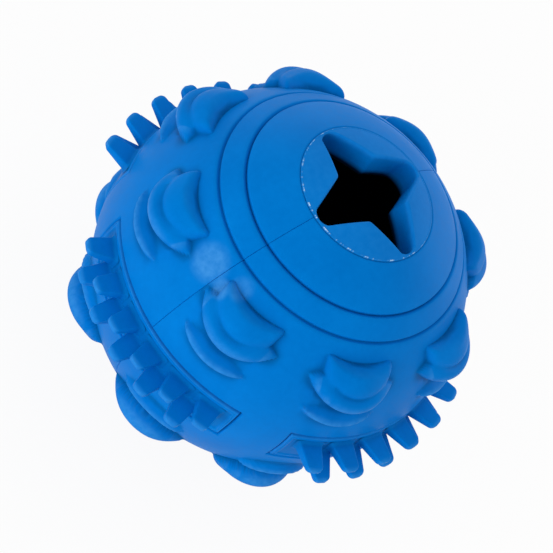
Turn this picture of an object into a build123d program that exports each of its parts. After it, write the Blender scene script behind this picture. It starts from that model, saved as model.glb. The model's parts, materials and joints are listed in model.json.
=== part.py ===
from build123d import *
import os
from math import asin, atan2, cos, degrees, radians, sin, sqrt, tan

# Hollow rubber treat ball. The mouth faces up the Z axis, the seam between the two half
# shells lies in the XZ plane, and the origin is the centre of the ball.
# Lengths are in millimetres. A polar angle is measured from the mouth axis, and a turn
# is measured about that axis from the seam, both in degrees.

# Ball wall
body_radius = 34.5
wall = 6.0
vent_radius = 3.0
groove_polars = (38.0, 45.9)
groove_width = 0.9
groove_depth = 0.5

# Star mouth and its four lips
mouth_radius = 13.2
lip_gap = 0.15
lip_relief_angle = 20.0
lip_count = 4
star_turn = 3.3
nose_reach = 6.65
nose_radius = 0.9
nose_narrowing = 0.5
arm_tip_radius = 2.0
arm_overrun = 0.4
arm_widening = 0.3

# Scale groups: a fat front scale, a low collar hugging its back, and a thin leaf behind
group_turn = 17.1
group_step = 45.0
group_polar = 49.9
scale_ball_radius = 8.0
scale_rise = 4.3
scale_half_width = 6.3
scale_front_set = 0.88
scale_horn_set = 0.45
scale_back_clear = 1.0
scale_draft = 8.0
horn_radius = 1.0
crest_radius = 0.6
collar_foot = 7.2
collar_ridge = 8.95
collar_back = 10.7
collar_half_turn = 61.0
collar_half_width = 8.4
collar_rise = 1.1
leaf_polar = 72.0
leaf_half_length = 7.35
leaf_horn_set = 1.0
leaf_front_set = 2.2
leaf_back_set = 2.7
leaf_foot = 11.3
leaf_ridge = 14.3
leaf_back = 16.0
leaf_rise = 1.2
leaf_ball_radius = 14.5
ridge_radius = 0.4
root_depth = 2.5

# Tread pads on the equator
pad_count = 4
pad_half_span = 36.7
pad_half_width = 4.65
pad_depth = 2.6
pad_seat_gap = 0.1
pad_end_gap = 0.3
border_gap = 0.5
rim_width = 1.0
field_depth = 0.4

# Teeth on the pads: two staggered rows, the longer one on the mouth side
tooth_pitch = 11.2
mouth_row_count = 6
far_row_count = 5
tooth_height = 5.3
tooth_base_width = 4.6
tooth_tip_width = 2.5
tooth_row_edge = 2.4
tooth_tip_edge = 2.8
tooth_row_gap = 0.5
tooth_tip_depth = 1.3
tooth_tip_radius = 0.9
tooth_edge_radius = 0.4

# One overrun for every cut
overrun = 5.0

# Worked out from the sizes above
quarter_turn = 90.0
half_turn = 180.0
full_turn = 360.0
inner_radius = body_radius - wall
mouth_edge = mouth_radius + lip_gap
lip_span = full_turn / lip_count


def height_at(reach, radius):
    """Height of a sphere's surface at a distance from its axis."""
    return sqrt(radius**2 - reach**2)


def around(reach, turn):
    """Point of a flat outline at a distance and a turn from its centre."""
    return (reach * cos(radians(turn)), reach * sin(radians(turn)))


def meridian_plane(turn):
    """Upright plane through the mouth axis, with X outwards at that turn and Y up."""
    out = (cos(radians(turn)), sin(radians(turn)), 0)
    return Plane(origin=(0, 0, 0), x_dir=out, z_dir=(out[1], -out[0], 0))


def outward(polar):
    """Direction out of the ball at turn zero."""
    return Vector(sin(radians(polar)), 0, cos(radians(polar)))


def tangent_plane(polar):
    """Plane on the ball at turn zero, with Y towards the mouth and Z outwards."""
    return Plane(origin=outward(polar) * body_radius, x_dir=(0, 1, 0), z_dir=outward(polar))


def group_section_plane(bearing):
    """Plane through a scale group's axis, with X over the ball at a bearing from its back, Y outwards."""
    back = outward(group_polar + quarter_turn)
    along = back * cos(radians(bearing)) + Vector(0, 1, 0) * sin(radians(bearing))
    return Plane(origin=(0, 0, 0), x_dir=along, z_dir=along.cross(outward(group_polar)))


def over_ball(reach, rise):
    """Point of a group section at a distance over the ball and a height above it."""
    return around(body_radius + rise, quarter_turn - degrees(reach / body_radius))


def wave_ring(foot, ridge, back, rise, half_turn_of_ring):
    """Wave about a scale group's axis: its section climbs from a foot to a rounded ridge and falls
    to its back, and is carried that far to both sides."""
    with BuildPart() as ring:
        with BuildSketch(group_section_plane(-half_turn_of_ring)) as wave_section:
            with BuildLine():
                Polyline(
                    over_ball(foot, -root_depth),
                    over_ball(foot, 0),
                    over_ball(ridge, rise),
                    over_ball(back, 0),
                    over_ball(back, -root_depth),
                    close=True,
                )
            make_face()
            fillet(wave_section.vertices().sort_by(SortBy.DISTANCE)[-1], ridge_radius)
        revolve(axis=Axis((0, 0, 0), outward(group_polar)), revolution_arc=2 * half_turn_of_ring)
    return ring.part


# Fat scale: a ball cap cut off by a hollow front wall and two straight ends. Its walls are drafted
# from a root inside the ball, so that they have their named places where they leave the surface
with BuildPart() as scale:
    scale_plane = tangent_plane(group_polar)
    root_flare = root_depth * tan(radians(scale_draft))
    root_half_width = scale_half_width + root_flare
    root_back = scale_ball_radius + scale_back_clear + root_flare
    with BuildSketch(scale_plane.offset(-root_depth)) as scale_outline:
        with BuildLine():
            left_horn = (-root_half_width, root_flare - scale_horn_set)
            right_horn = (root_half_width, root_flare - scale_horn_set)
            ThreePointArc(right_horn, (0, root_flare - scale_front_set), left_horn)
            Polyline(
                left_horn,
                (-root_half_width, -root_back),
                (root_half_width, -root_back),
                right_horn,
            )
        make_face()
        fillet(scale_outline.vertices().group_by(Axis.Y)[-1], horn_radius + root_flare)
    extrude(amount=root_depth + scale_rise, taper=scale_draft)
    with Locations(scale_plane.offset(scale_rise - scale_ball_radius)):
        Sphere(scale_ball_radius, mode=Mode.INTERSECT)
    scale_crown = scale.faces().filter_by(GeomType.SPHERE).sort_by(SortBy.AREA)[-1]
    crest = scale_crown.edges().sort_by(Axis.Z)[1:]
    fillet(crest, crest_radius)

# Collar: a low wave round the back of the fat scale, with a horn at both ends
with BuildPart() as collar:
    add(wave_ring(collar_foot, collar_ridge, collar_back, collar_rise, collar_half_turn))
    with BuildSketch(tangent_plane(group_polar)):
        Rectangle(2 * collar_half_width, 2 * collar_back)
    extrude(amount=root_depth, both=True, mode=Mode.INTERSECT)

# Leaf: a wider wave, cut to a thin almond and fading out at its two points
with BuildPart() as leaf:
    leaf_plane = tangent_plane(leaf_polar)
    with BuildSketch(leaf_plane) as leaf_outline:
        with BuildLine():
            left_point = (-leaf_half_length, leaf_horn_set)
            right_point = (leaf_half_length, leaf_horn_set)
            ThreePointArc(left_point, (0, leaf_front_set), right_point)
            ThreePointArc(left_point, (0, -leaf_back_set), right_point)
        make_face()
    extrude(amount=root_depth, both=True)
    with Locations(leaf_plane.offset(leaf_rise - leaf_ball_radius)):
        Sphere(leaf_ball_radius, mode=Mode.INTERSECT)
    add(wave_ring(leaf_foot, leaf_ridge, leaf_back, leaf_rise, quarter_turn), mode=Mode.INTERSECT)

with BuildPart() as upper_group:
    add(scale.part)
    add(collar.part)
    add(leaf.part)

with BuildPart() as lower_group:
    mirror(upper_group.part, about=Plane.XY)

# Seat that a tread pad lies in
with BuildPart() as pad_seat:
    with BuildSketch(meridian_plane(-pad_half_span)):
        with Locations((body_radius - pad_depth, 0)):
            Rectangle(pad_depth + overrun, 2 * pad_half_width, align=(Align.MIN, Align.CENTER))
    revolve(axis=Axis.Z, revolution_arc=2 * pad_half_span)

# Half shell: the ball's wall carried half a turn from the seam, with grooves round both
# ends, scale groups on both hemispheres and seats for the pads
with BuildPart() as front_shell:
    mouth_top = height_at(mouth_edge, body_radius)
    relief = radians(lip_relief_angle)
    slope = mouth_top * cos(relief) - mouth_edge * sin(relief)
    relief_length = slope - sqrt(slope**2 - body_radius**2 + inner_radius**2)
    mouth_rim = (mouth_edge, mouth_top)
    mouth_root = (mouth_edge + relief_length * sin(relief), mouth_top - relief_length * cos(relief))
    vent_rim = (vent_radius, -height_at(vent_radius, body_radius))
    vent_root = (vent_radius, -height_at(vent_radius, inner_radius))
    with BuildSketch(Plane.XZ) as wall_section:
        with BuildLine():
            ThreePointArc(mouth_rim, (body_radius, 0), vent_rim)
            Line(vent_rim, vent_root)
            ThreePointArc(vent_root, (inner_radius, 0), mouth_root)
            Line(mouth_root, mouth_rim)
        make_face()
        for polar in groove_polars:
            for rise in (quarter_turn - polar, polar - quarter_turn):
                groove_mouth = Vector(*around(body_radius, rise), 0)
                with Locations(Location(groove_mouth, (0, 0, rise))):
                    Polygon(
                        (-groove_depth, 0),
                        (groove_depth, -groove_width),
                        (groove_depth, groove_width),
                        align=Align.NONE,
                        mode=Mode.SUBTRACT,
                    )
    revolve(axis=Axis.Z, revolution_arc=half_turn)
    groups_on_half = round(half_turn / group_step)
    with PolarLocations(0, groups_on_half, start_angle=group_turn, angular_range=half_turn):
        add(upper_group.part)
        add(lower_group.part)
    with PolarLocations(0, pad_count):
        add(pad_seat.part, mode=Mode.SUBTRACT)

with BuildPart() as rear_shell:
    add(front_shell.part, rotation=(0, 0, half_turn))

# Tooth at turn zero in the mouth-side row: tapered both ways, with a rounded tip
with BuildPart() as tooth:
    tooth_root = body_radius - field_depth - pad_depth / 2
    tooth_tip = body_radius + tooth_height
    with BuildSketch(Plane.XY) as tooth_front:
        with BuildLine():
            Polyline(
                (tooth_root, -tooth_base_width / 2),
                (body_radius - field_depth, -tooth_base_width / 2),
                (tooth_tip, -tooth_tip_width / 2),
                (tooth_tip, tooth_tip_width / 2),
                (body_radius - field_depth, tooth_base_width / 2),
                (tooth_root, tooth_base_width / 2),
                close=True,
            )
        make_face()
        fillet(tooth_front.vertices().group_by(Axis.X)[-1], tooth_tip_radius)
    extrude(amount=tooth_tip_edge)
    with BuildSketch(Plane.XZ) as tooth_side:
        with BuildLine():
            Polyline(
                (tooth_root, tooth_row_gap / 2),
                (tooth_root, tooth_row_edge),
                (tooth_tip, tooth_tip_edge),
                (tooth_tip, tooth_tip_edge - tooth_tip_depth),
                (body_radius - field_depth, tooth_row_gap / 2),
                close=True,
            )
        make_face()
        fillet(tooth_side.vertices().group_by(Axis.X)[-1], tooth_edge_radius)
    extrude(amount=tooth_base_width, both=True, mode=Mode.INTERSECT)

with BuildPart() as far_tooth:
    mirror(tooth.part, about=Plane.XY)

# Tread pad: a rimmed strip of the ball's surface with its teeth
with BuildPart() as tread_pad:
    pad_floor = body_radius - pad_depth + pad_seat_gap
    floor_half_width = pad_half_width - pad_seat_gap
    top_half_width = pad_half_width - border_gap
    top_edge = height_at(top_half_width, body_radius)
    pad_arc = pad_half_span - degrees(asin(pad_end_gap / body_radius))
    with BuildSketch(meridian_plane(-pad_arc)) as pad_section:
        with BuildLine():
            ThreePointArc((top_edge, -top_half_width), (body_radius, 0), (top_edge, top_half_width))
            Polyline(
                (top_edge, top_half_width),
                (pad_floor, floor_half_width),
                (pad_floor, -floor_half_width),
                (top_edge, -top_half_width),
            )
        make_face()
    revolve(axis=Axis.Z, revolution_arc=2 * pad_arc)
    field_half_width = top_half_width - rim_width
    field_arc = pad_arc - degrees(asin(rim_width / body_radius))
    with BuildSketch(meridian_plane(-field_arc)):
        with Locations((body_radius - field_depth, 0)):
            Rectangle(overrun, 2 * field_half_width, align=(Align.MIN, Align.CENTER))
    revolve(axis=Axis.Z, revolution_arc=2 * field_arc, mode=Mode.SUBTRACT)
    for tooth_part, count in ((tooth.part, mouth_row_count), (far_tooth.part, far_row_count)):
        row_arc = tooth_pitch * (count - 1)
        with PolarLocations(0, count, -row_arc / 2, row_arc, endpoint=True):
            add(tooth_part)

# Star that divides the mouth into lips. Towards the inside the noses come closer together,
# and the arms open up, so that each lip can swing clear of the next one
with BuildPart() as star:
    star_depth = body_radius - height_at(mouth_radius, inner_radius) + overrun
    arm_axis = mouth_radius + arm_overrun - arm_tip_radius
    for depth in (0, star_depth):
        nose = nose_reach - nose_narrowing * depth / wall
        tip = arm_tip_radius + arm_widening * depth / wall
        nose_corner = around(nose, lip_span / 2)
        side_length = sqrt((arm_axis - nose_corner[0]) ** 2 + nose_corner[1] ** 2)
        side_angle = atan2(nose_corner[1], arm_axis - nose_corner[0]) - asin(tip / side_length)
        arm_point = arm_axis + tip / sin(side_angle)
        with BuildSketch(Plane.XY.offset(body_radius - depth)) as star_outline:
            with BuildLine():
                corners = []
                for number in range(lip_count):
                    corners.append(around(arm_point, star_turn + number * lip_span))
                    corners.append(around(nose, star_turn + (number + 0.5) * lip_span))
                Polyline(*corners, close=True)
            make_face()
            fillet(star_outline.vertices().group_by(SortBy.DISTANCE)[-1], tip)
            fillet(star_outline.vertices().group_by(SortBy.DISTANCE)[0], nose_radius)
    loft(ruled=True)

# Lips: the ball's wall inside the mouth ring, divided by the star
lips = []
for number in range(lip_count):
    lip_turn = star_turn + number * lip_span
    with BuildPart() as lip:
        with BuildSketch(meridian_plane(lip_turn)):
            with BuildLine():
                ring_top = (mouth_radius, height_at(mouth_radius, body_radius))
                ring_root = (mouth_radius, height_at(mouth_radius, inner_radius))
                Line((0, inner_radius), (0, body_radius))
                RadiusArc((0, body_radius), ring_top, body_radius)
                Line(ring_top, ring_root)
                RadiusArc((0, inner_radius), ring_root, inner_radius)
            make_face()
        revolve(axis=Axis.Z, revolution_arc=lip_span)
        add(star.part, mode=Mode.SUBTRACT)
    lips.append(lip.part)

os.makedirs("parts", exist_ok=True)
front_shell.part.label = "front_shell"
export_step(front_shell.part, "parts/front_shell.step")
rear_shell.part.label = "rear_shell"
export_step(rear_shell.part, "parts/rear_shell.step")
for number, lip_part in enumerate(lips, start=1):
    lip_part.label = f"lip_{number}"
    export_step(lip_part, f"parts/lip_{number}.step")
for number in range(pad_count):
    with BuildPart() as placed_pad:
        add(tread_pad.part, rotation=(0, 0, number * full_turn / pad_count))
    placed_pad.part.label = f"tread_pad_{number + 1}"
    export_step(placed_pad.part, f"parts/tread_pad_{number + 1}.step")
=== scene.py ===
import json
import bpy
import numpy as np
from mathutils import Matrix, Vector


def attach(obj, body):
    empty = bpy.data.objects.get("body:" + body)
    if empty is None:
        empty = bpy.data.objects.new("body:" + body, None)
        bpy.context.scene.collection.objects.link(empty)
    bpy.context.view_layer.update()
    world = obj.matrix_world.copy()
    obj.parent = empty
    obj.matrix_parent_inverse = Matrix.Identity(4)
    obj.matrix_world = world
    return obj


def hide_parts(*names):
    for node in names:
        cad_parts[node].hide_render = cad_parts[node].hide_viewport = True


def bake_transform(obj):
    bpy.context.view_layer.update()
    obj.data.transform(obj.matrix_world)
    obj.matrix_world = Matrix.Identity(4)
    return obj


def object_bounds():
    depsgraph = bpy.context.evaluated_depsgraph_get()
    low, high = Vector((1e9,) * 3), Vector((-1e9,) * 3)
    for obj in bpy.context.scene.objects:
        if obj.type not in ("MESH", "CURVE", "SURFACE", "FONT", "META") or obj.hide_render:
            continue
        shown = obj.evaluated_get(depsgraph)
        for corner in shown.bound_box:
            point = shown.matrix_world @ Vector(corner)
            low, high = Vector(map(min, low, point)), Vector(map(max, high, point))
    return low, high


# Blue rubber treat ball: two half shells with moulded scales, four bending mouth lips and four
# toothed tread pads. Sizes are in millimetres and degrees, and become metres only when a mesh is
# made. A polar angle is measured from the mouth axis, and a turn about that axis from the seam.

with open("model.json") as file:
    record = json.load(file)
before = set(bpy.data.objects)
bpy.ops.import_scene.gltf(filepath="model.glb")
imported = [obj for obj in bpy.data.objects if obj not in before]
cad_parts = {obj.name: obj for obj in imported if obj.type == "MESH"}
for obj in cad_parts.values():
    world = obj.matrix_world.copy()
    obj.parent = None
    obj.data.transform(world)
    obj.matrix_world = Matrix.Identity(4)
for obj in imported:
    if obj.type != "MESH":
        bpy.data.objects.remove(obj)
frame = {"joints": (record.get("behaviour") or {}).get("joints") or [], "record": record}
cad_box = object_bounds()

# Sizes that the frame gives, and the length of one degree over the plain ball
MM = 0.001
hinge = np.array(frame["joints"][0]["pos_m"]) / MM
vent = frame["record"]["mounts"][0]
body_radius = np.linalg.norm(hinge)
mouth_radius = np.hypot(hinge[0], hinge[1])
vent_radius = vent["dims"]["r_mm"]
vent_root = abs(vent["pos_m"][2]) / MM - vent["dims"]["length_mm"] / 2
inner_radius = np.hypot(vent_root, vent_radius)
lip_turns = [np.degrees(np.arctan2(joint["pos_m"][1], joint["pos_m"][0])) for joint in frame["joints"]]
lip_count = len(lip_turns)
degree = np.radians(body_radius)

# Half shells: gaps and rounded edges, the latitude grooves and the seats of the pads
seam_gap = 0.015
seam_round = 0.13
mouth_gap = 0.025
mouth_round = 0.3
mouth_undercut = 20.0
vent_round = 0.5
groove_polars = (38.05, 46.1)
groove_half_width = 0.5
groove_depth = 0.8
groove_power = 1.5
pad_count = 4
pad_step = 360 / pad_count
pad_half_span = 36.7
pad_half_width = 4.65
pad_depth = 2.6
pad_edge_round = 0.3
pad_wall_run = 0.1
mouth_polar = np.degrees(np.arcsin((mouth_radius + mouth_gap) / body_radius))
vent_polar = 180 - np.degrees(np.arcsin(vent_radius / body_radius))
seat_polar = np.degrees(np.arccos(pad_half_width / body_radius))

# Scale groups: a domed scale, a taller collar round its back and a crescent leaf behind it. Powers shape
# the collar's section and how the three forms run together.
group_turn = 17.1
group_step = 45.0
group_polar = 49.9
group_power = 5
front_polar = 51.25
front_degree = degree * np.sin(np.radians(front_polar))
front_bow = 0.85
scale_half_width = 6.3
scale_end_rise = 1.0
scale_horn_round = 0.9
scale_middle = 5.2
scale_half_length = 5.2
scale_side_fall = 7.0
scale_steepness = 1.2
scale_rise = 3.75
scale_edge_run = 1.5
scale_end_run = 0.75
scale_back = 7.4
scale_back_run = 2.4
collar_middle = 0.7
collar_ridge = 7.4
collar_inner_run = 1.5
collar_outer_run = 2.05
collar_power = 0.4
collar_rise = 4.17
collar_half_turn = 72.0
collar_end_turn = 63.0
collar_end_sweep = 1.0
collar_end_run = 0.35
leaf_foot = 10.9
leaf_foot_round = 0.4
leaf_ridge = 13.7
leaf_back = 15.2
leaf_bow = 3.4
leaf_half_turn = 31.5
leaf_least_fade = 0.01
leaf_rise = 1.9

# Rows of the half shells' grid, as stretches that have a first polar angle and a number of even steps on
# to the next stretch. They are close together where the form turns sharply.
mouth_rim_rows = ((mouth_polar, 4), (mouth_polar + 0.22, 2))
groove_rows = ((mouth_polar + 0.8, 6), (37.1, 9), (38.9, 5), (45.0, 9), (46.8, 4))
scale_rows = ((front_polar, 14), (52.7, 8), (55.0, 32), (67.5, 18), (77.5, 4))
seat_rows = ((seat_polar - 0.7, 5), (seat_polar, 2), (seat_polar + pad_wall_run / degree, 4))
vent_rim_turn = 1.2
vent_row_counts = (6, 4)
inner_rows = 14

# Lines across those rows: an even step of turn away from the seam, and closer lines at distances from the
# seam, inward from the scales' ends and outward from the seats' ends. Over the scales they are gathered,
# and between two polar angles they are let go again.
shell_step = 0.6
shell_margin = 1.2
seam_lines = (0, 0.05, 0.1, seam_round)
scale_end_lines = (-0.1, 0, 0.06, 0.12, 0.22, 0.34, 0.48, 0.64, 0.85)
seat_end_lines = (-0.1, -0.05, 0, 0.15, 0.3, 0.45)
gather_margin = 0.3
gather_polars = (68.0, 79.0)
sharp_angle = 70.0
least_distance = 1e-9

# Tread pads and their two staggered rows of teeth, as (count, side), where the mouth's side is 1. The rings
# of a tooth are counted for its foot, its sides and its tip.
rim_gap = 0.5
rim_end_gap = 0.3
rim_width = 1.0
rim_round = 0.28
rim_corner_round = 0.3
rim_fall = (0.75 * rim_width, 1.25 * rim_width)
rim_line_depth = 0.1
rim_line_half_width = 0.16
rim_grid_width = 1.3 * rim_width
rim_grid_lines = 16
field_lines_across = 6
field_lines_along = 70
field_depth = 0.2
seat_gap = 0.1
tooth_pitch = 11.2
tooth_rows = ((6, 1), (5, -1))
tooth_height = 5.3
tooth_base_width = 4.6
tooth_tip_width = 2.8
tooth_row_edge = 2.4
tooth_tip_edge = 2.8
tooth_row_gap = 0.5
tooth_tip_depth = 1.3
tooth_tip_round = 0.95
tooth_crown = 0.04
tooth_face_run = 1.2
tooth_face_round = 0.4
tooth_back_run = 0.8
tooth_back_round = 0.4
tooth_foot_round = 0.7
tooth_foot_sink = 0.08
tooth_squareness = 9.0
tooth_ring_points = 40
tooth_ring_counts = (7, 6, 15)

# Lips, and the bead of flash along the ring. A wave of the flash is a product of two sines, each given
# as its count round the ring and its shift.
nose_reach = 6.6
nose_round = 0.3
nose_narrowing = 0.5
arm_axis = 10.6
arm_tip_radius = 2.0
arm_widening = 0.3
lip_edge_round = 0.65
lip_foot_round = 1.3
lip_round_share = 0.45
ring_round = 0.12
ring_round_share = 0.2
lip_turn_lines = 121
lip_top_lines = (9, 14)
lip_bow_lines = 10
lip_wall_lines = 8
lip_inner_lines = 6
flash_reach = 13.0
flash_half_width = 0.13
flash_rise = 0.09
flash_turn = 10.0
flash_waves = (((23, 1.0), (41, 0.0)), ((67, 2.0), (97, 0.5)))
flash_limits = (-0.6, 1.0)
flash_mean = 0.6
flash_swing = 0.9
flash_share = 0.14

# Tones: painted shade, which darkens hollows, the feet of the teeth and the insides, and how strongly; pale
#  bloom, with painted highlights on ridges, rims and tooth tips, and where it lies. A patch of bloom is
#  given as its place (polar, turn), size and strength, and fades between two shares of its size.
# Painted shade on the shells: darker where the relief sinks below its settled level
hollow_limit = 0.9
hollow_full = 0.6
painted_shade_share = 0.42
settle_rounds = 30
# Pale bloom with a painted highlight on ridges that stand above the settled relief
ridge_bloom_and_highlight = 0.3
ridge_levels = (0.25, 0.9)
patch_places = (((54.7, -5.8), 2.7, 0.42), ((55.6, 4.0), 1.3, 0.45), ((51.0, 8.5), 1.6, 0.22))
patch_fade = (0.6, 1.6)
# Pale bloom with a painted highlight along the pads' rounded rims
rim_bloom_and_highlight = 0.1
rim_bloom_and_highlight_width = 0.3 * rim_width
# Painted shade on the pads' floor towards the teeth
floor_shade_share = 0.15
# Painted shade towards the feet of the teeth
tooth_foot_shade = 0.2
tooth_foot_shade_rise = 1.6
# Painted highlight on the tips of the teeth
tooth_tip_highlight = 0.2
tooth_tip_highlight_run = 0.9
fleck_bloom = 0.9
fleck_levels = (0.5, 1.0)
# Faint pale bloom on the lips' tops and edges, partly a painted sheen
lip_bloom_and_sheen = 0.05
# Painted shade down the lips' walls, near black inside the mouth
wall_shade = 0.97
wall_shade_start = 0.75

# Rubber: typical index of refraction, a weak satin gloss, and the widths of its patterns. The grain of
# the mould is finer than the picture shows, so it is drawn as coarse as this.
rubber_ior = 1.52
gloss_level = 0.04
gloss_tint = "#0066E0"
satin_range = (0.38, 0.56)
blue_stops = ((0.45, "#0072C8"), (0.90, "#027CD4"))
# Near-black blue of the painted shade
painted_shade_blue = "#00101F"
# Pale colours of the bloom and of the painted highlights
bloom_and_highlight_stops = ((0.55, "#5CAAEB"), (0.95, "#C4E2F8"))
cloud_width = 14.0
cloud_detail = 3
speck_width = 1.1
speck_detail = 2
speck_share = 0.35
dust_levels = (0.35, 0.65)
dust_least = 0.55
grain_width = 0.35
grain_detail = 1
grain_depth = 0.05
grain_strength = 0.12


def hex_color(text):
    """sRGB hex colour as linear RGBA: each channel through the sRGB curve's inverse."""
    channels = np.array([int(text[i:i + 2], 16) / 255 for i in (1, 3, 5)])
    linear = np.where(channels <= 0.04045, channels / 12.92, ((channels + 0.055) / 1.055) ** 2.4)
    return (*linear.tolist(), 1.0)


def steps(stretches, end):
    """Values from place to place, where each stretch has its start and its number of even steps."""
    starts, counts = zip(*stretches)
    stops = [*starts[1:], end]
    runs = [np.linspace(*run, endpoint=False) for run in zip(starts, stops, counts)]
    return np.concatenate([*runs, [end]])


def smooth_rise(low, high, value):
    """Level at 0 up to low, level at 1 from high, and a cubic S between them."""
    share = np.clip((value - low) / (high - low), 0, 1)
    return share * share * (3 - 2 * share)


def soft_least(first, second, width):
    """The smaller of two values, with the corner where they cross rounded over a width."""
    return np.minimum(first, second) - np.maximum(width - np.abs(first - second), 0) ** 2 / (4 * width)


def soft_most(first, second, width):
    """The larger of two values, with the corner where they cross rounded over a width."""
    return -soft_least(-first, -second, width)


def edge_share(distance, run):
    """Share of the full height at a distance inside a rounded edge: a quarter ellipse over its run."""
    return np.sqrt(1 - np.clip(1 - distance / run, 0, 1) ** 2)


def edge_drop(distance, radius):
    """Drop of a rounded edge at a distance from it: a quarter circle, nothing past its radius."""
    return radius * (1 - edge_share(distance, radius))


def from_nearer_end(polar):
    """Polar angle from the nearer end of the mouth axis, because the far half mirrors the near one."""
    return 90 - np.abs(90 - polar)


def from_nearest(turn, first, step):
    """Turn measured from the nearest of places that stand a step apart, round from the first."""
    return (turn - first + step / 2) % step - step / 2


def on_ball(radius, polar, turn):
    """Points at a radius, a polar angle and a turn, as an array with X, Y and Z last."""
    polar, turn = np.radians(polar), np.radians(turn)
    level = radius * np.sin(polar)
    return np.stack(np.broadcast_arrays(
        level * np.cos(turn), level * np.sin(turn), radius * np.cos(polar)), axis=-1)


def turned(points, turn):
    """Points turned about the mouth axis."""
    cosine, sine = np.cos(np.radians(turn)), np.sin(np.radians(turn))
    return points @ np.array([[cosine, sine, 0], [-sine, cosine, 0], [0, 0, 1]])


def grid_faces(rows, columns, first=0, close_rows=False, close_columns=False):
    """Quads of a grid of points numbered row by row, joined round where a direction closes."""
    index = first + np.arange(rows * columns).reshape(rows, columns)
    if close_rows:
        index = np.vstack([index, index[:1]])
    if close_columns:
        index = np.hstack([index, index[:, :1]])
    corners = [index[:-1, :-1], index[1:, :-1], index[1:, 1:], index[:-1, 1:]]
    return np.stack(corners, axis=-1).reshape(-1, 4).tolist()


def settled(values, rounds):
    """Values on a grid, each averaged with its neighbours both ways, that many times over."""
    for _ in range(rounds):
        padded = np.pad(values, 1, mode="edge")
        values = (2 * padded[1:-1, 1:-1] + padded[:-2, 1:-1] + padded[2:, 1:-1]) / 4
        padded = np.pad(values, 1, mode="edge")
        values = (2 * padded[1:-1, 1:-1] + padded[1:-1, :-2] + padded[1:-1, 2:]) / 4
    return values


def make_piece(node, points, faces, material, painted_shade, bloom_and_highlight):
    """Mesh object from points in millimetres, standing for a CAD node of the same place. Every point
    says how much painted shade darkens it and how much pale bloom and painted highlight lie on it, both
    from 0 to 1."""
    name = f"{node}_rubber"
    mesh = bpy.data.meshes.new(name)
    mesh.from_pydata((points.reshape(-1, 3) * MM).tolist(), [], faces)
    mesh.validate()
    mesh.shade_smooth()
    mesh.set_sharp_from_angle(angle=np.radians(sharp_angle))
    mesh.materials.append(material)
    for layer_name, values in (("painted_shade", painted_shade), ("bloom_and_highlight", bloom_and_highlight)):
        layer = mesh.attributes.new(layer_name, "FLOAT", "POINT")
        layer.data.foreach_set("value", np.clip(np.ravel(values), 0, 1).astype(np.float32))
    piece = bpy.data.objects.new(name, mesh)
    bpy.context.scene.collection.objects.link(piece)
    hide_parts(node)
    return piece


def fat_scale(x, y, behind_front):
    """Height of the fat scale: a bell over an oval, raised on a low pillow that is cut off by a hollowed
    front, two upright ends and a round back. All its edges turn over by a quarter ellipse, which is
    shorter towards the ends."""
    oval = (x / scale_side_fall) ** 2 + ((-y - scale_middle) / scale_half_length) ** 2
    top = scale_end_rise + (scale_rise - scale_end_rise) * np.exp(-scale_steepness * oval)
    to_end = np.clip((x / scale_half_width) ** 2, 0, 1)
    behind_front = behind_front - front_bow * (1 - to_end)
    inside = soft_least(behind_front, scale_half_width - np.abs(x), scale_horn_round)
    edge_run = scale_edge_run + (scale_end_run - scale_edge_run) * to_end
    before_back = scale_back - np.hypot(x, y + collar_middle)
    return top * edge_share(inside, edge_run) * edge_share(before_back, scale_back_run)


def collar(x, y):
    """Height of the collar: a fat bow on a circle behind the scale, with a rounded section, that falls
    away towards both ends as a parabola and is cut off there, which leaves a horn."""
    reach = np.hypot(x, y + collar_middle)
    bearing = np.degrees(np.arctan2(np.abs(x), -y - collar_middle))
    from_ridge = reach - collar_ridge
    run = np.where(from_ridge > 0, collar_outer_run, collar_inner_run)
    section = np.clip(1 - (from_ridge / run) ** 2, 0, 1) ** collar_power
    fall = np.clip(1 - (bearing / collar_half_turn) ** 2, 0, 1)
    before_end = np.radians(collar_end_turn + collar_end_sweep * from_ridge - bearing) * reach
    return collar_rise * section * fall * smooth_rise(0, collar_end_run, before_end)


def leaf(x, y):
    """Height of the leaf: a low wave on a wider circle, whose foot bows out and whose height and width
    fade to a point at both ends. Its section is the lesser of the shares climbed from its foot and from
    its back, half straight and half S-shaped, so that the ridge stays narrow."""
    reach = np.hypot(x, y)
    bearing = np.degrees(np.arctan2(np.abs(x), -y))
    fade = np.clip(1 - (bearing / leaf_half_turn) ** 2, leaf_least_fade, 1)
    foot = soft_most(leaf_ridge - leaf_bow * fade, leaf_foot, leaf_foot_round)
    back = leaf_ridge + (leaf_back - leaf_ridge) * np.sqrt(fade)
    rise = leaf_rise * np.sqrt(fade) * (bearing < leaf_half_turn)
    climbed = np.minimum((reach - foot) / (leaf_ridge - foot), (back - reach) / (back - leaf_ridge))
    level = np.clip(climbed, 0, 1)
    return rise * (level + smooth_rise(0, 1, level)) / 2


def group_relief(polar, turn):
    """Height of the scale groups. Both hemispheres and every group fold onto one group, whose flat x and
    y are distances over the ball from its middle, y towards the mouth. The three forms run into each
    other as a root of the sum of their powers, which follows the highest."""
    polar = from_nearer_end(polar)
    turn = from_nearest(turn, group_turn, group_step)
    middle = np.radians(group_polar)
    out, side, up = np.moveaxis(on_ball(1, polar, turn), -1, 0)
    north = up * np.sin(middle) - out * np.cos(middle)
    away = up * np.cos(middle) + out * np.sin(middle)
    flat = np.hypot(side, north) + least_distance
    reach = np.arctan2(flat, away) * body_radius / flat
    x, y = side * reach, north * reach
    behind_front = (polar - front_polar) * degree
    heights = [fat_scale(x, y, behind_front), collar(x, y), leaf(x, y)]
    return sum(height**group_power for height in heights) ** (1 / group_power)


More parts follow.
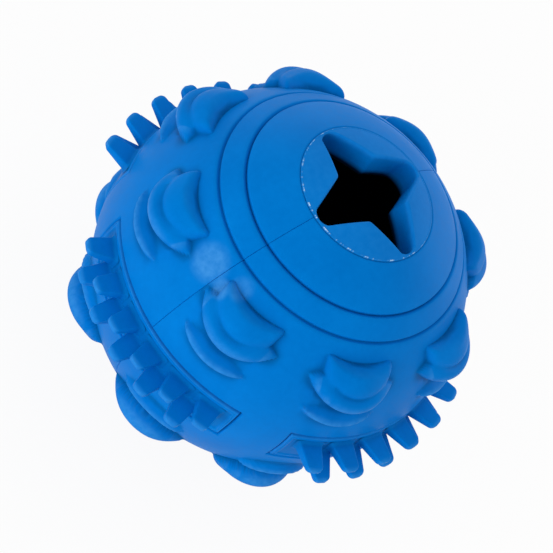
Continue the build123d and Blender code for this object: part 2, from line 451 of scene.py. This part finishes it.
def shell_relief(polar, turn, beside_seam):
    """Height of a half shell's outer face over the plain ball: scale groups, less the latitude
    grooves, the rounded edges of seam, mouth and vent, and the seats of the pads."""
    height = group_relief(polar, turn)
    for groove_polar in groove_polars:
        from_groove = np.abs(from_nearer_end(polar) - groove_polar) * degree
        share = np.clip(1 - from_groove / groove_half_width, 0, 1)
        height = height - groove_depth * share**groove_power
    height = height - edge_drop(beside_seam, seam_round)
    height = height - edge_drop((polar - mouth_polar) * degree, mouth_round)
    height = height - edge_drop((vent_polar - polar) * degree, vent_round)
    past_end = (np.abs(from_nearest(turn, 0, pad_step)) - pad_half_span) * degree
    past_side = np.abs(body_radius * np.cos(np.radians(polar))) - pad_half_width
    off_seat = np.maximum(past_end, past_side)
    seat = pad_edge_round + (pad_depth - pad_edge_round) * np.clip(-off_seat / pad_wall_run, 0, 1)
    return height - np.where(off_seat > 0, edge_drop(off_seat, pad_edge_round), seat)


def shell_rows():
    """Polar angles of the rows on a half shell's outer face, from the mouth to the vent. Past the equator
    they mirror those of the near half, apart from the mouth's rim, which the vent's rim replaces."""
    near = steps([*mouth_rim_rows, *groove_rows, *scale_rows, *seat_rows], 90)
    rim_count = sum(count for _, count in mouth_rim_rows)
    far = 180 - near[rim_count:-1][::-1]
    vent_rows = steps(zip((far[-1], vent_polar - vent_rim_turn), vent_row_counts), vent_polar)
    return np.concatenate([near, far, vent_rows[1:]])


def shell_turns():
    """Turns of the grid lines on a half shell away from the seam: an even step, and closer lines over
    the rounded ends of the scales and the walls of the seats, which even lines close by give way to."""
    scale_ends = (scale_half_width - np.array(scale_end_lines)) / front_degree
    groups = group_turn + group_step * np.arange(round(180 / group_step))
    seat_ends = pad_half_span + np.array(seat_end_lines) / degree
    close = np.concatenate([
        *(groups[:, None] + np.concatenate([-scale_ends, scale_ends])),
        *(np.arange(0, 180, pad_step)[:, None] + np.concatenate([seat_ends, pad_step - seat_ends]))])
    even = np.arange(shell_margin, 180 - shell_margin + shell_step / 2, shell_step)
    clear = np.abs(even[:, None] - close).min(axis=1) > shell_step / 3
    return np.sort(np.concatenate([even[clear], close]))


def along_groups(polar, turn):
    """Turns of the grid lines, drawn together over the scale groups so that they follow the scales'
    straight ends: a line keeps its distance from the group's middle instead of its turn."""
    local = from_nearest(turn, group_turn, group_step)
    from_end = from_nearer_end(polar)
    widening = np.sin(np.radians(np.maximum(from_end, front_polar))) / np.sin(np.radians(front_polar))
    draw_in = (1 - 1 / widening) * (1 - smooth_rise(*gather_polars, from_end))
    scale_end = scale_half_width / front_degree + gather_margin
    fade = np.clip((group_turn - np.abs(local)) / (group_turn - scale_end), 0, 1)
    return turn - np.sign(local) * np.minimum(np.abs(local), scale_end) * draw_in * fade


def bloom_patches(polar, turn):
    """Pale bloom in round patches, each full round its place and fading out by an S with the distance
    from there, taken between points of the plain ball."""
    points = on_ball(body_radius, polar, turn)
    bloom_and_highlight = 0
    for place, size, strength in patch_places:
        away = np.linalg.norm(points - on_ball(body_radius, *place), axis=-1)
        bloom_and_highlight = bloom_and_highlight + strength * (1 - smooth_rise(*patch_fade, away / size))
    return bloom_and_highlight


def mouth_root_polar():
    """Polar angle at which the mouth's wall meets the inner face: from the rim, the wall leans outwards by
    the undercut, for as long as it takes to come down to the inner radius."""
    undercut = np.radians(mouth_undercut)
    rim_radius = body_radius - mouth_round
    rim_out = rim_radius * np.sin(np.radians(mouth_polar))
    rim_up = rim_radius * np.cos(np.radians(mouth_polar))
    slope = rim_up * np.cos(undercut) - rim_out * np.sin(undercut)
    length = slope - np.sqrt(slope**2 - rim_radius**2 + inner_radius**2)
    return np.degrees(np.arctan2(rim_out + length * np.sin(undercut), rim_up - length * np.cos(undercut)))


def half_shell(name, start_turn, material):
    """Half shell from a seam line round to the other: the closed section loop of the wall (outer face,
    vent wall, inner face, mouth wall) carried along the turns, with both seam ends capped. Lines beside
    the seam keep a steady distance from it instead of a steady turn. What lies below the settled relief
    is darkened with painted shade, and the inner face is painted fully in shade; what lies above it has
    pale bloom with a painted highlight."""
    outer = shell_rows()
    vent_root_polar = 180 - np.degrees(np.arcsin(vent_radius / inner_radius))
    inner = np.linspace(vent_root_polar, mouth_root_polar(), inner_rows)
    polar = np.concatenate([outer, inner])[:, None]
    is_outer = (np.arange(polar.size) < outer.size)[:, None]
    radius = np.where(is_outer, body_radius, inner_radius)
    level = np.maximum(radius * np.sin(np.radians(polar)), mouth_radius)
    near_seam = np.degrees((seam_gap + np.array(seam_lines)) / level)
    turn = np.hstack([near_seam, along_groups(polar, shell_turns()[None]), 180 - near_seam[:, ::-1]])
    beside_seam = level * np.radians(np.minimum(turn, 180 - turn)) - seam_gap
    relief = np.where(is_outer, shell_relief(polar, turn, beside_seam), 0)
    points = on_ball(radius + relief, polar, turn + start_turn)
    # Painted shade where the relief sinks below its settled level and fully on the inner face; pale bloom
    # with a painted highlight where it rises above, and the patches of bloom
    shallow = np.maximum(relief, -hollow_limit)
    over = shallow - settled(shallow, settle_rounds)
    painted_shade = np.where(is_outer, painted_shade_share * smooth_rise(0, hollow_full, -over), 1)
    bloom_and_highlight = ridge_bloom_and_highlight * smooth_rise(*ridge_levels, over) + bloom_patches(polar, turn + start_turn)
    bloom_and_highlight = np.where(is_outer, bloom_and_highlight, 0)
    rows, columns = turn.shape
    faces = grid_faces(rows, columns, close_rows=True)
    first_end = (np.arange(rows) * columns).tolist()
    last_end = (np.arange(rows)[::-1] * columns + columns - 1).tolist()
    piece = make_piece(name, points, [*faces, first_end, last_end], material, painted_shade, bloom_and_highlight)
    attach(piece, "ball")


def tooth_profile():
    """Heights and flares of a tooth's rings from foot to tip, as two columns: a quarter-circle fillet off
    the floor, straight sides, then closer and closer rings up to the tip."""
    foot_count, body_count, tip_count = tooth_ring_counts
    lift = np.linspace(0, np.pi / 2, foot_count)
    foot = tooth_foot_round * (1 - np.cos(lift)) - field_depth - tooth_foot_sink
    flare = tooth_foot_round * (1 - np.sin(lift))
    body = np.linspace(foot[-1], tooth_height - tooth_face_run, body_count)[1:]
    tip = tooth_height - tooth_face_run * (1 - np.sin(np.linspace(0, np.pi / 2, tip_count)[1:]))
    height = np.concatenate([foot, body, tip])
    return height[:, None], np.pad(flare, (0, height.size - flare.size))[:, None]


def tooth(turn, side):
    """Points of a tooth at a turn, on the mouth's side or the far side: rings and a last point for the tip,
    with the number of rings and of points in each. A ring is a rounded rectangle that narrows both ways
    towards the tip and flares at the foot. Below the tip its sides draw in by a quarter circle, and its
    faces by quarter ellipses, a long one on the open face and a short one beside the other row."""
    height, flare = tooth_profile()
    angle = np.linspace(0, 2 * np.pi, tooth_ring_points, endpoint=False)
    unit_x, unit_z = [
        np.sign(wave) * np.abs(wave) ** (2 / tooth_squareness) for wave in (np.cos(angle), np.sin(angle))]
    up = np.clip((height + field_depth) / (tooth_height + field_depth), 0, 1)
    to_tip = tooth_height - height
    width = tooth_base_width + (tooth_tip_width - tooth_base_width) * up
    half_width = width / 2 + flare - edge_drop(to_tip, tooth_tip_round)
    face = tooth_row_edge + (tooth_tip_edge - tooth_row_edge) * up + flare
    face = face - tooth_face_round * (1 - edge_share(to_tip, tooth_face_run))
    back_foot = tooth_row_gap / 2
    back = back_foot + (tooth_tip_edge - tooth_tip_depth - back_foot) * up - flare
    back = back + tooth_back_round * (1 - edge_share(to_tip, tooth_back_run))
    axial = side * ((face + back) / 2 + (face - back) / 2 * unit_z)
    rings = np.stack(np.broadcast_arrays(body_radius + height, half_width * unit_x, axial), axis=-1)
    tip = rings[-1].mean(axis=0) + np.array([tooth_crown, 0, 0])
    return turned(np.vstack([rings.reshape(-1, 3), tip]), turn), rings.shape[:2]


def tooth_faces(rows, columns, first, side):
    """Quads between a tooth's rings, and a fan of triangles that closes its tip."""
    quads = grid_faces(rows, columns, first, close_columns=True)
    ring = first + (rows - 1) * columns + np.arange(columns)
    fan = np.stack([ring, np.full(columns, first + rows * columns), np.roll(ring, -1)], axis=-1).tolist()
    faces = [*quads, *fan]
    return faces if side < 0 else [face[::-1] for face in faces]


def rim_profile(inward):
    """Height of a pad's face at a distance inward from its edge: a rounded edge, a bead with a
    fine line along it, and an S down to the floor that the teeth stand on."""
    line = np.clip(1 - np.abs(inward - rim_width / 2) / rim_line_half_width, 0, 1)
    floor = field_depth * smooth_rise(*rim_fall, inward)
    return -edge_drop(inward, rim_round) - rim_line_depth * line - floor


def strip_lines(half, rim, field_lines):
    """Grid lines from one edge of a strip to the other, close together over both rims."""
    return steps([(-half, rim_grid_lines), (rim - half, field_lines), (half - rim, rim_grid_lines)], half)


def tread_pad(name, middle_turn, material):
    """Tread pad: a strip of the ball's face between two turns, with its rim profile all round,
    sloping sides and a flat underside as one closed section loop, capped at both ends, and two
    staggered rows of teeth."""
    top_half = pad_half_width - rim_gap
    end_turn = pad_half_span - rim_end_gap / degree
    axial = strip_lines(top_half, rim_grid_width, field_lines_across)[:, None]
    turn = strip_lines(end_turn, rim_grid_width / degree, field_lines_along)[None]
    inward = soft_least(top_half - np.abs(axial), (end_turn - np.abs(turn)) * degree, rim_corner_round)
    inward = np.maximum(inward, 0)
    top = on_ball(body_radius + rim_profile(inward), np.degrees(np.arccos(axial / body_radius)), turn)
    under_radius = body_radius - pad_depth + seat_gap
    under_z = (pad_half_width - seat_gap) * np.array([[1], [-1]])
    under = np.stack(np.broadcast_arrays(
        under_radius * np.cos(np.radians(turn)), under_radius * np.sin(np.radians(turn)), under_z), axis=-1)
    strip = np.concatenate([top, under])
    rows, columns = strip.shape[:2]
    faces = [face[::-1] for face in grid_faces(rows, columns, close_rows=True)]
    faces.append((np.arange(rows)[::-1] * columns).tolist())
    faces.append((np.arange(rows) * columns + columns - 1).tolist())
    points = [strip.reshape(-1, 3)]
    # Painted shade on the floor towards the teeth and fully on the hidden sides and underside; pale bloom
    # with a painted highlight along the rounded rim
    floor_shade = floor_shade_share * smooth_rise(*rim_fall, inward)
    painted_shade = [np.vstack([floor_shade, np.ones((2, columns))]).ravel()]
    bloom_and_highlight = [np.vstack([rim_bloom_and_highlight * (inward < rim_bloom_and_highlight_width), np.zeros((2, columns))]).ravel()]
    for count, side in tooth_rows:
        for tooth_turn in (np.arange(count) - (count - 1) / 2) * tooth_pitch:
            tooth_points, tooth_shape = tooth(tooth_turn, side)
            faces += tooth_faces(*tooth_shape, sum(len(part) for part in points), side)
            points.append(tooth_points)
            height = np.linalg.norm(tooth_points[:, :2], axis=-1) - body_radius
            # Painted shade towards each tooth's foot, and a painted highlight on its tip
            painted_shade.append(tooth_foot_shade * (1 - smooth_rise(-field_depth, tooth_foot_shade_rise, height)))
            bloom_and_highlight.append(tooth_tip_highlight * smooth_rise(tooth_height - tooth_tip_highlight_run, tooth_height, height))
    points, painted_shade, bloom_and_highlight = [np.concatenate(values) for values in (points, painted_shade, bloom_and_highlight)]
    piece = make_piece(name, turned(points, middle_turn), faces, material, painted_shade, bloom_and_highlight)
    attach(piece, "ball")


def star_reach(turn, depth_share):
    """Distance of a lip's free edge from the mouth axis at a turn from the lip's middle. Each side is
    a straight line from the nose that touches the round end of the star's arm. The larger of the two
    is the edge, softened at the nose, and past the touching point the edge follows the arm's end."""
    nose = nose_reach - nose_narrowing * depth_share
    tip = arm_tip_radius + arm_widening * depth_share
    half = np.pi / lip_count
    corner = nose * np.array([np.cos(half), np.sin(half)])
    slant = np.hypot(arm_axis - corner[0], corner[1])
    side_angle = np.arctan2(corner[1], arm_axis - corner[0]) - np.arcsin(tip / slant)
    from_axis = arm_axis * np.sin(side_angle) + tip
    off_arm = half - np.abs(np.radians(turn))
    near_side = from_axis / np.sin(side_angle + off_arm)
    other_side = from_axis / np.sin(side_angle + 2 * half - off_arm)
    touching = np.arctan2(tip * np.cos(side_angle), arm_axis + tip * np.sin(side_angle))
    half_chord = np.sqrt(np.maximum(tip**2 - (arm_axis * np.sin(off_arm)) ** 2, 0))
    arm_end = arm_axis * np.cos(off_arm) + half_chord
    return np.where(off_arm < touching, arm_end, soft_most(near_side, other_side, nose_round))


def mould_flash(reach, turn):
    """Height of the thin bead of flash along the mouth ring: a bell across the ring, and round it a mean
    level with ragged waves, strongest about one turn and fading to none on the far side."""
    at = np.radians(turn - flash_turn)
    ragged = 0
    for (count, shift), (other_count, other_shift) in flash_waves:
        ragged = ragged + np.sin(count * at + shift) * np.sin(other_count * at + other_shift)
    uneven = flash_mean + flash_swing * np.clip(ragged, *flash_limits) * (1 + np.cos(at)) / 2
    return flash_rise * uneven * np.exp(-(((reach - flash_reach) / flash_half_width) ** 2))


def mouth_lip(name, middle_turn, material):
    """Lip: a closed section carried round the lip's turns from arm to arm, and capped at both thin ends,
    where it meets the next lip. The stretches of the section, each with its distance from the mouth axis,
    height, depth from 0 to 1, which sets its painted shade, and its pale flash flecks and faint bloom with
    a painted sheen, are the outer face, rounded free edge, wall, rounded foot, inner face and ring wall."""
    half_turn = 180 / lip_count
    turn = half_turn * np.sin(np.linspace(-np.pi / 2, np.pi / 2, lip_turn_lines))[:, None]
    edge = star_reach(turn, 0)
    wall_foot = star_reach(turn, 1)
    across = mouth_radius - edge
    edge_round = np.minimum(lip_edge_round, lip_round_share * across)
    ring_fillet = np.minimum(ring_round, ring_round_share * across)
    foot_round = np.minimum(lip_foot_round, lip_round_share * (mouth_radius - wall_foot))
    bow = np.linspace(0, np.pi / 2, lip_bow_lines)[None]

    top_share = steps(zip((0, flash_share), lip_top_lines), 1)[None]
    top_reach = mouth_radius - ring_fillet - (across - edge_round - ring_fillet) * top_share
    flash = mould_flash(top_reach, turn + middle_turn)
    top_height = np.sqrt(body_radius**2 - top_reach**2) + flash
    # Pale flash flecks, and a faint pale bloom with a painted sheen over the lip's top
    top_bloom_and_sheen = lip_bloom_and_sheen + fleck_bloom * smooth_rise(*fleck_levels, flash / flash_rise)

    edge_height = np.sqrt(body_radius**2 - (edge + edge_round) ** 2)
    edge_reach = edge + edge_round * (1 - np.sin(bow[:, 1:]))
    edge_fall = edge_height - edge_round * (1 - np.cos(bow[:, 1:]))

    foot_end = wall_foot + foot_round
    foot_height = np.sqrt(inner_radius**2 - foot_end**2)
    foot_reach = wall_foot + foot_round * (1 - np.cos(bow))
    foot_fall = foot_height + foot_round * (1 - np.sin(bow))

    wall_share = np.linspace(0, 1, lip_wall_lines)[None, 1:-1]
    wall_top = edge_height - edge_round
    wall_reach = edge + (wall_foot - edge) * wall_share
    wall_fall = wall_top + (foot_height + foot_round - wall_top) * wall_share

    inner_reach = foot_end + (mouth_radius - foot_end) * np.linspace(0, 1, lip_inner_lines)[None, 1:]
    inner_height = np.sqrt(inner_radius**2 - inner_reach**2)
    ring_top = np.sqrt(body_radius**2 - mouth_radius**2) - ring_fillet

    stretches = (
        (top_reach, top_height, 0, top_bloom_and_sheen),
        (edge_reach, edge_fall, 0, lip_bloom_and_sheen),
        (wall_reach, wall_fall, wall_share, 0),
        (foot_reach, foot_fall, 1, 0),
        (inner_reach, inner_height, 1, 0),
        (mouth_radius, ring_top, (1 + wall_shade_start) / 2, 0),
    )
    even_stretches = [np.broadcast_arrays(*stretch) for stretch in stretches]
    reach, height, depth, bloom_and_highlight = [np.hstack(values) for values in zip(*even_stretches)]
    # Painted shade, darker down the wall and near black on the inner face
    painted_shade = wall_shade * smooth_rise(wall_shade_start, 1, depth)
    at = np.radians(turn + middle_turn)
    points = np.stack([reach * np.cos(at), reach * np.sin(at), height], axis=-1)
    rows, columns = reach.shape
    faces = grid_faces(rows, columns, close_columns=True)
    faces.append(np.arange(columns).tolist())
    faces.append((np.arange(columns)[::-1] + (rows - 1) * columns).tolist())
    piece = make_piece(name, points, faces, material, painted_shade, bloom_and_highlight)
    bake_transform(piece)


def add_node(owner, kind, settings=None, **links):
    """Adds a node to a material or world, sets its properties and input values, and links its inputs,
    which are named with underscores for spaces. An input whose name repeats is given by its number."""
    tree = owner.node_tree
    node = tree.nodes.new(kind)
    for key, value in (settings or {}).items():
        if isinstance(key, str) and hasattr(node, key):
            setattr(node, key, value)
        else:
            node.inputs[key].default_value = value
    for key, source in links.items():
        key = int(key[1:]) if key[0] == "_" else key.replace("_", " ")
        tree.links.new(source, node.inputs[key])
    return node


def moulded_rubber(name):
    """Natural rubber, pressed in a satin steel mould: an even saturated blue with faint cloudy shading,
    painted shade towards a near-black blue and a pale dusty bloom with painted highlights where the points
    of a piece ask for them, a broad soft gloss that keeps the blue of the rubber, and a fine tool grain."""
    material = bpy.data.materials.new(name)
    material.use_nodes = True
    tree = material.node_tree
    shader = tree.nodes["Principled BSDF"]
    shader.inputs["IOR"].default_value = rubber_ior
    shader.inputs["Specular IOR Level"].default_value = gloss_level
    shader.inputs["Specular Tint"].default_value = hex_color(gloss_tint)
    place = add_node(material, "ShaderNodeTexCoord").outputs["Object"]
    patterns = ((cloud_width, cloud_detail), (speck_width, speck_detail), (grain_width, grain_detail))
    cloud, speck, grain = [
        add_node(material, "ShaderNodeTexNoise", {"Scale": 1 / (width * MM), "Detail": detail},
                 Vector=place)
        for width, detail in patterns]
    mottle = add_node(material, "ShaderNodeMath", {"operation": "MULTIPLY_ADD", 1: speck_share},
                      _0=speck.outputs["Fac"], _2=cloud.outputs["Fac"])
    # The first attribute is painted shade; the second is pale bloom with painted highlights and sheen
    painted_shade = add_node(material, "ShaderNodeAttribute", {"attribute_name": "painted_shade"})
    bloom_and_highlight = add_node(material, "ShaderNodeAttribute", {"attribute_name": "bloom_and_highlight"})
    blue = add_node(material, "ShaderNodeValToRGB", Fac=mottle.outputs["Value"])
    bloom_and_highlight_ramp = add_node(material, "ShaderNodeValToRGB", Fac=bloom_and_highlight.outputs["Fac"])
    for ramp, stops in ((blue, blue_stops), (bloom_and_highlight_ramp, bloom_and_highlight_stops)):
        for element, (position, color) in zip(ramp.color_ramp.elements, stops):
            element.position = position
            element.color = hex_color(color)
    # Painted shade: the blue mixed towards a near-black blue
    toned = add_node(material, "ShaderNodeMix", {"data_type": "RGBA", 7: hex_color(painted_shade_blue)},
                     _0=painted_shade.outputs["Fac"], _6=blue.outputs["Color"])
    dusty = add_node(material, "ShaderNodeMapRange",
                     {"From Min": dust_levels[0], "From Max": dust_levels[1], "To Min": dust_least},
                     Value=speck.outputs["Fac"])
    # Pale bloom and painted highlight, mottled by the specks
    dust_and_highlight = add_node(material, "ShaderNodeMath", {"operation": "MULTIPLY"},
                    _0=bloom_and_highlight.outputs["Fac"], _1=dusty.outputs["Result"])
    pale = add_node(material, "ShaderNodeMix", {"data_type": "RGBA"},
                    _0=dust_and_highlight.outputs["Value"], _6=toned.outputs[2], _7=bloom_and_highlight_ramp.outputs["Color"])
    satin = add_node(material, "ShaderNodeMapRange", {"To Min": satin_range[0], "To Max": satin_range[1]},
                     Value=speck.outputs["Fac"])
    bump = add_node(material, "ShaderNodeBump", {"Strength": grain_strength, "Distance": grain_depth * MM},
                    Height=grain.outputs["Fac"])
    tree.links.new(pale.outputs[2], shader.inputs["Base Color"])
    tree.links.new(satin.outputs["Result"], shader.inputs["Roughness"])
    tree.links.new(bump.outputs["Normal"], shader.inputs["Normal"])
    return material


# Pieces, all of one rubber: the shells and pads ride on the ball, and each lip is baked in place without
#  a body of its own
ball_rubber = moulded_rubber("moulded_ball_rubber")
for shell_name, shell_start in (("front_shell", 0), ("rear_shell", 180)):
    half_shell(shell_name, shell_start, ball_rubber)
for number in range(pad_count):
    tread_pad(f"tread_pad_{number + 1}", number * pad_step, ball_rubber)
for joint, lip_turn in zip(frame["joints"], lip_turns):
    mouth_lip(joint["child"], lip_turn, ball_rubber)

# Camera at the photograph's angle: the direction to the viewer leans off the mouth axis, and the
# picture is rolled so that the mouth axis points up and to the right
camera_turn = 14.0
mouth_lean = 40.93
mouth_bearing = 42.82
camera_distance = 12 * body_radius
focal_pixels = 2260.8
frame_pixels = 553
sensor_width = 36.0
aim_right, aim_up = -0.37, -0.11

towards = on_ball(1, mouth_lean, camera_turn)
axis_on_picture = (np.array([0, 0, 1]) - towards[2] * towards) / np.sin(np.radians(mouth_lean))
beside_axis = np.cross(towards, axis_on_picture)
bearing = np.radians(mouth_bearing)
right = np.cos(bearing) * axis_on_picture - np.sin(bearing) * beside_axis
up = np.sin(bearing) * axis_on_picture + np.cos(bearing) * beside_axis


def facing(right_axis, up_axis, back_axis, place):
    """Matrix of a camera or lamp that looks against its back axis from a place in millimetres."""
    matrix = np.eye(4)
    matrix[:3, :3] = np.column_stack([right_axis, up_axis, back_axis])
    matrix[:3, 3] = np.array(place) * MM
    return Matrix(matrix.tolist())


camera = bpy.data.objects.new("camera", bpy.data.cameras.new("camera"))
camera.data.sensor_width = sensor_width
camera.data.lens = sensor_width * focal_pixels / frame_pixels
camera_place = camera_distance * towards + aim_right * right + aim_up * up
camera.matrix_world = facing(right, up, towards, camera_place)
bpy.context.scene.collection.objects.link(camera)
bpy.context.scene.camera = camera

# Lamps: a key from the left, and weak ones behind the right and top edges. Each has its direction on
# the picture, as right, up and towards the viewer, and its power in watts.
lamp_distance = 600.0
lamp_size = 350.0
lamps = (
    ("key_lamp", (-0.58, -0.22, 0.78), 1.5),
    ("right_lamp", (0.92, 0.15, -0.4), 0.8),
    ("top_lamp", (0.15, 0.92, -0.4), 0.6),
)


def soft_lamp(name, direction, power):
    """Square soft lamp that shines at the ball's centre from a direction given on the picture."""
    back = direction @ np.stack([right, up, towards])
    back = back / np.linalg.norm(back)
    side = np.cross(up, back)
    side = side / np.linalg.norm(side)
    lamp = bpy.data.objects.new(name, bpy.data.lights.new(name, "AREA"))
    lamp.data.size = lamp_size * MM
    lamp.data.energy = power
    lamp.matrix_world = facing(side, np.cross(back, side), back, back * lamp_distance)
    bpy.context.scene.collection.objects.link(lamp)


for lamp_name, lamp_direction, lamp_power in lamps:
    soft_lamp(lamp_name, np.array(lamp_direction), lamp_power)


def seen_share(owner):
    """Output that is 1 where the camera, a reflection or a clear piece sees a thing, and 0 where the thing
    only lights the others."""
    ray = add_node(owner, "ShaderNodeLightPath").outputs
    seen = ray["Is Camera Ray"]
    for other in (ray["Is Glossy Ray"], ray["Is Transmission Ray"]):
        seen = add_node(owner, "ShaderNodeMath", {"operation": "MAXIMUM"}, _0=seen, _1=other).outputs[0]
    return seen


# World: even light on the ball, as in a light tent, and plain white where it is seen
white = (1, 1, 1, 1)
world_light = 0.7
world = bpy.data.worlds.new("studio")
world.use_nodes = True
bpy.context.scene.world = world
background = world.node_tree.nodes["Background"]
background.inputs["Color"].default_value = white
strength = add_node(world, "ShaderNodeMapRange", {"To Min": world_light, "To Max": 1.0},
                    Value=seen_share(world))
world.node_tree.links.new(strength.outputs["Result"], background.inputs["Strength"])

# Floor: a white sheet that the ball stands on. Where it is seen, it is mostly plain white, with a share
# of its real shading, which holds the ball's soft shadow.
floor_half = 1500.0
floor_level = cad_box[0][2] / MM
white_share = 0.92
paper_white = "#F4F4F4"
paper_roughness = 0.9
corners = np.array([[-1, -1, 0], [1, -1, 0], [1, 1, 0], [-1, 1, 0]]) * floor_half
floor_mesh = bpy.data.meshes.new("floor")
floor_mesh.from_pydata(((corners + np.array([0, 0, floor_level])) * MM).tolist(), [], [(0, 1, 2, 3)])
floor = bpy.data.objects.new("floor", floor_mesh)
paper = bpy.data.materials.new("white_paper")
paper.use_nodes = True
paper_shader = paper.node_tree.nodes["Principled BSDF"]
paper_shader.inputs["Base Color"].default_value = hex_color(paper_white)
paper_shader.inputs["Roughness"].default_value = paper_roughness
glow = add_node(paper, "ShaderNodeEmission", {"Color": white, "Strength": 1.0})
share = add_node(paper, "ShaderNodeMath", {"operation": "MULTIPLY", 1: white_share}, _0=seen_share(paper))
mixed = add_node(paper, "ShaderNodeMixShader", _0=share.outputs[0], _1=paper_shader.outputs["BSDF"],
                 _2=glow.outputs["Emission"])
paper_output = paper.node_tree.nodes["Material Output"]
paper.node_tree.links.new(mixed.outputs["Shader"], paper_output.inputs["Surface"])
floor_mesh.materials.append(paper)
bpy.context.scene.collection.objects.link(floor)

bpy.context.scene.view_settings.view_transform = "Standard"
